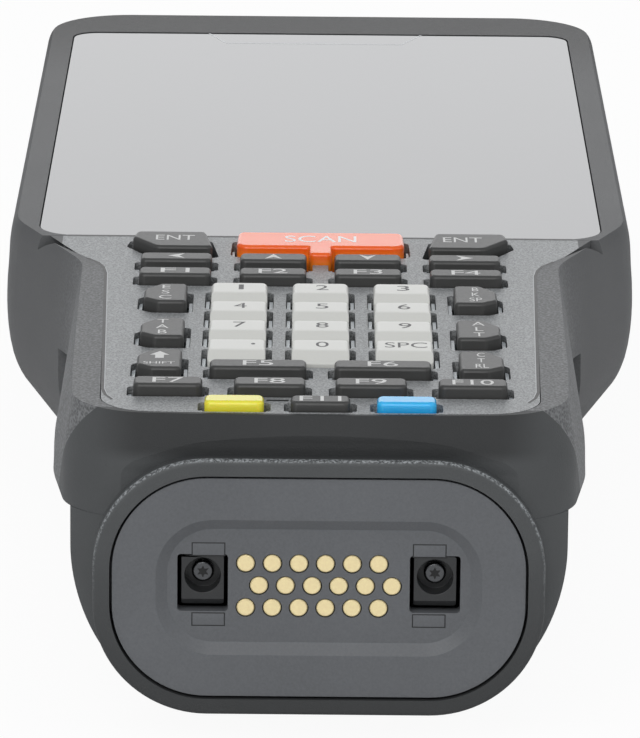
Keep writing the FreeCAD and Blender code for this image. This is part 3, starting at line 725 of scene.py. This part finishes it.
class TERMINAL_OT_contacts(TerminalOperator):
    """Contact panel, gold contacts, sleeves and their screws"""

    bl_idname = "terminal.contacts"
    bl_label = "Contacts"

    def execute(self, context):
        panel = grained("panel_plastic", tuple(self.sizes.panel_colour), spread=0.34,
                        grain_mm=0.3, depth_mm=0.03, roughness=0.5)
        softened("contact_panel", panel, width_mm=0.15)
        dress(["contact_pins"], metal_finish("contact_gold", linear(255, 230, 178),
                                             roughness=0.4, wear_mm=0.4, metallic=0.3))
        sleeve = grained("sleeve_plastic", linear(42, 43, 44), spread=0.15, grain_mm=0.3,
                         depth_mm=0.015, roughness=0.35)
        softened("screw_sleeves", sleeve, width_mm=0.15)
        dress(["panel_screws"], metal_finish("panel_screw_steel", linear(95, 96, 98),
                                             roughness=0.25, wear_mm=0.5))
        low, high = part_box("contact_panel")
        middle = (low[2] + high[2]) / 2
        shadow = print_and_painted_light_finish("tab_shadow", linear(24, 25, 27))
        for side in (-1, 1):
            for level in TAB_LEVELS:
                place = (side * TAB_X * MM, low[1] + TAB_DEPTH * MM, middle + level * MM)
                small_block("panel_tab_gap", place, TAB_GAP_SIZE, shadow, edge_mm=0.01)
                small_block("panel_tab", place, TAB_SIZE, panel, edge_mm=0.03)
        low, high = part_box("panel_screws")
        drive = print_and_painted_light_finish("drive_shadow", linear(18, 18, 19))
        inset = SCREW_RADIUS * MM
        for side, x in (("left", low[0] + inset), ("right", high[0] - inset)):
            star_mark("screw_star_" + side, x, low[1], (low[2] + high[2]) / 2, drive)
        return {"FINISHED"}


def pale_floor():
    """White floor that takes a shadow and glows a little where the camera sees it."""
    shader = Shader("floor_white", (0.93, 0.93, 0.93), 0.9)
    ray = shader.node("ShaderNodeLightPath", output="Is Camera Ray")
    glow = shader.node("ShaderNodeEmission", None,
                       {"Color": (1.0, 1.0, 1.0, 1.0), "Strength": 1.0})
    surface = Value(shader, shader.main.outputs[0])
    mixed = shader.node("ShaderNodeMixShader", None, (ray * 0.94, surface, glow))
    output = shader.tree.nodes["Material Output"]
    shader.tree.links.new(mixed.socket, output.inputs["Surface"])
    return shader.material


def pale_world():
    """White background for the camera, with a soft dim light for the object."""
    world = bpy.data.worlds.new("pale_world")
    bpy.context.scene.world = world
    world.use_nodes = True
    tree = world.node_tree
    path = tree.nodes.new("ShaderNodeLightPath")
    mix = tree.nodes.new("ShaderNodeMixShader")
    seen = tree.nodes.new("ShaderNodeBackground")
    seen.inputs["Color"].default_value = (1.0, 1.0, 1.0, 1.0)
    lit = tree.nodes["Background"]
    lit.inputs["Color"].default_value = (0.95, 0.97, 1.0, 1.0)
    lit.inputs["Strength"].default_value = 0.4
    tree.links.new(path.outputs["Is Camera Ray"], mix.inputs[0])
    tree.links.new(lit.outputs[0], mix.inputs[1])
    tree.links.new(seen.outputs[0], mix.inputs[2])
    tree.links.new(mix.outputs[0], tree.nodes["World Output"].inputs["Surface"])


def area_light(name, place, target, size, power):
    """A square lamp that faces its target and isn't seen itself."""
    light = bpy.data.lights.new(name, "AREA")
    light.size = size
    light.energy = power
    lamp = bpy.data.objects.new(name, light)
    bpy.context.scene.collection.objects.link(lamp)
    lamp.location = place
    aim = Vector(target) - Vector(place)
    lamp.rotation_euler = aim.to_track_quat("-Z", "Y").to_euler()
    lamp.visible_camera = False


def camera_at(lens):
    """Looks from beyond the contact end, 15 degrees down, with the photograph's slight roll."""
    camera = bpy.data.objects.new("camera", bpy.data.cameras.new("camera"))
    bpy.context.scene.collection.objects.link(camera)
    camera.data.lens = lens
    camera.data.sensor_width = 36.0
    camera.data.clip_end = 20.0
    camera.matrix_world = (Matrix.Translation(CAMERA_PLACE)
                           @ Matrix.Rotation(math.radians(CAMERA_YAW), 4, "Z")
                           @ Matrix.Rotation(math.radians(90.0 - CAMERA_PITCH), 4, "X")
                           @ Matrix.Rotation(math.radians(CAMERA_ROLL), 4, "Z"))
    bpy.context.scene.camera = camera
    bpy.context.scene.view_settings.view_transform = "Standard"


class TERMINAL_OT_stage(TerminalOperator):
    """Floor, light and camera"""

    bl_idname = "terminal.stage"
    bl_label = "Stage"

    def execute(self, context):
        floor = added("floor", bpy.ops.mesh.primitive_plane_add, size=FLOOR_SIZE,
                      location=(0.0, 0.0, -FLOOR_DROP))
        set_material(floor, pale_floor())
        pale_world()
        for light in LIGHTS:
            area_light(*light)
        camera_at(self.sizes.lens)
        return {"FINISHED"}


OPERATORS = (TERMINAL_OT_casing, TERMINAL_OT_screen, TERMINAL_OT_keypad, TERMINAL_OT_legends,
             TERMINAL_OT_arrows, TERMINAL_OT_contacts, TERMINAL_OT_stage)


class TERMINAL_PT_panel(bpy.types.Panel):
    """The settings and the operators, in the order they run"""

    bl_label = "Barcode data terminal"
    bl_space_type = "VIEW_3D"
    bl_region_type = "UI"
    bl_category = "Terminal"

    def draw(self, context):
        for name in TerminalSettings.__annotations__:
            self.layout.prop(context.scene.terminal, name)
        for operator in OPERATORS:
            self.layout.operator(operator.bl_idname)


CLASSES = (TerminalSettings, *OPERATORS, TERMINAL_PT_panel)


def register():
    for cls in CLASSES:
        bpy.utils.register_class(cls)
    bpy.types.Scene.terminal = bpy.props.PointerProperty(type=TerminalSettings)


def unregister():
    del bpy.types.Scene.terminal
    for cls in reversed(CLASSES):
        bpy.utils.unregister_class(cls)


def main():
    register()
    for operator in OPERATORS:
        group, call = operator.bl_idname.split(".")
        getattr(getattr(bpy.ops, group), call)()
    bpy.context.view_layer.update()


if __name__ == "__main__":
    main()
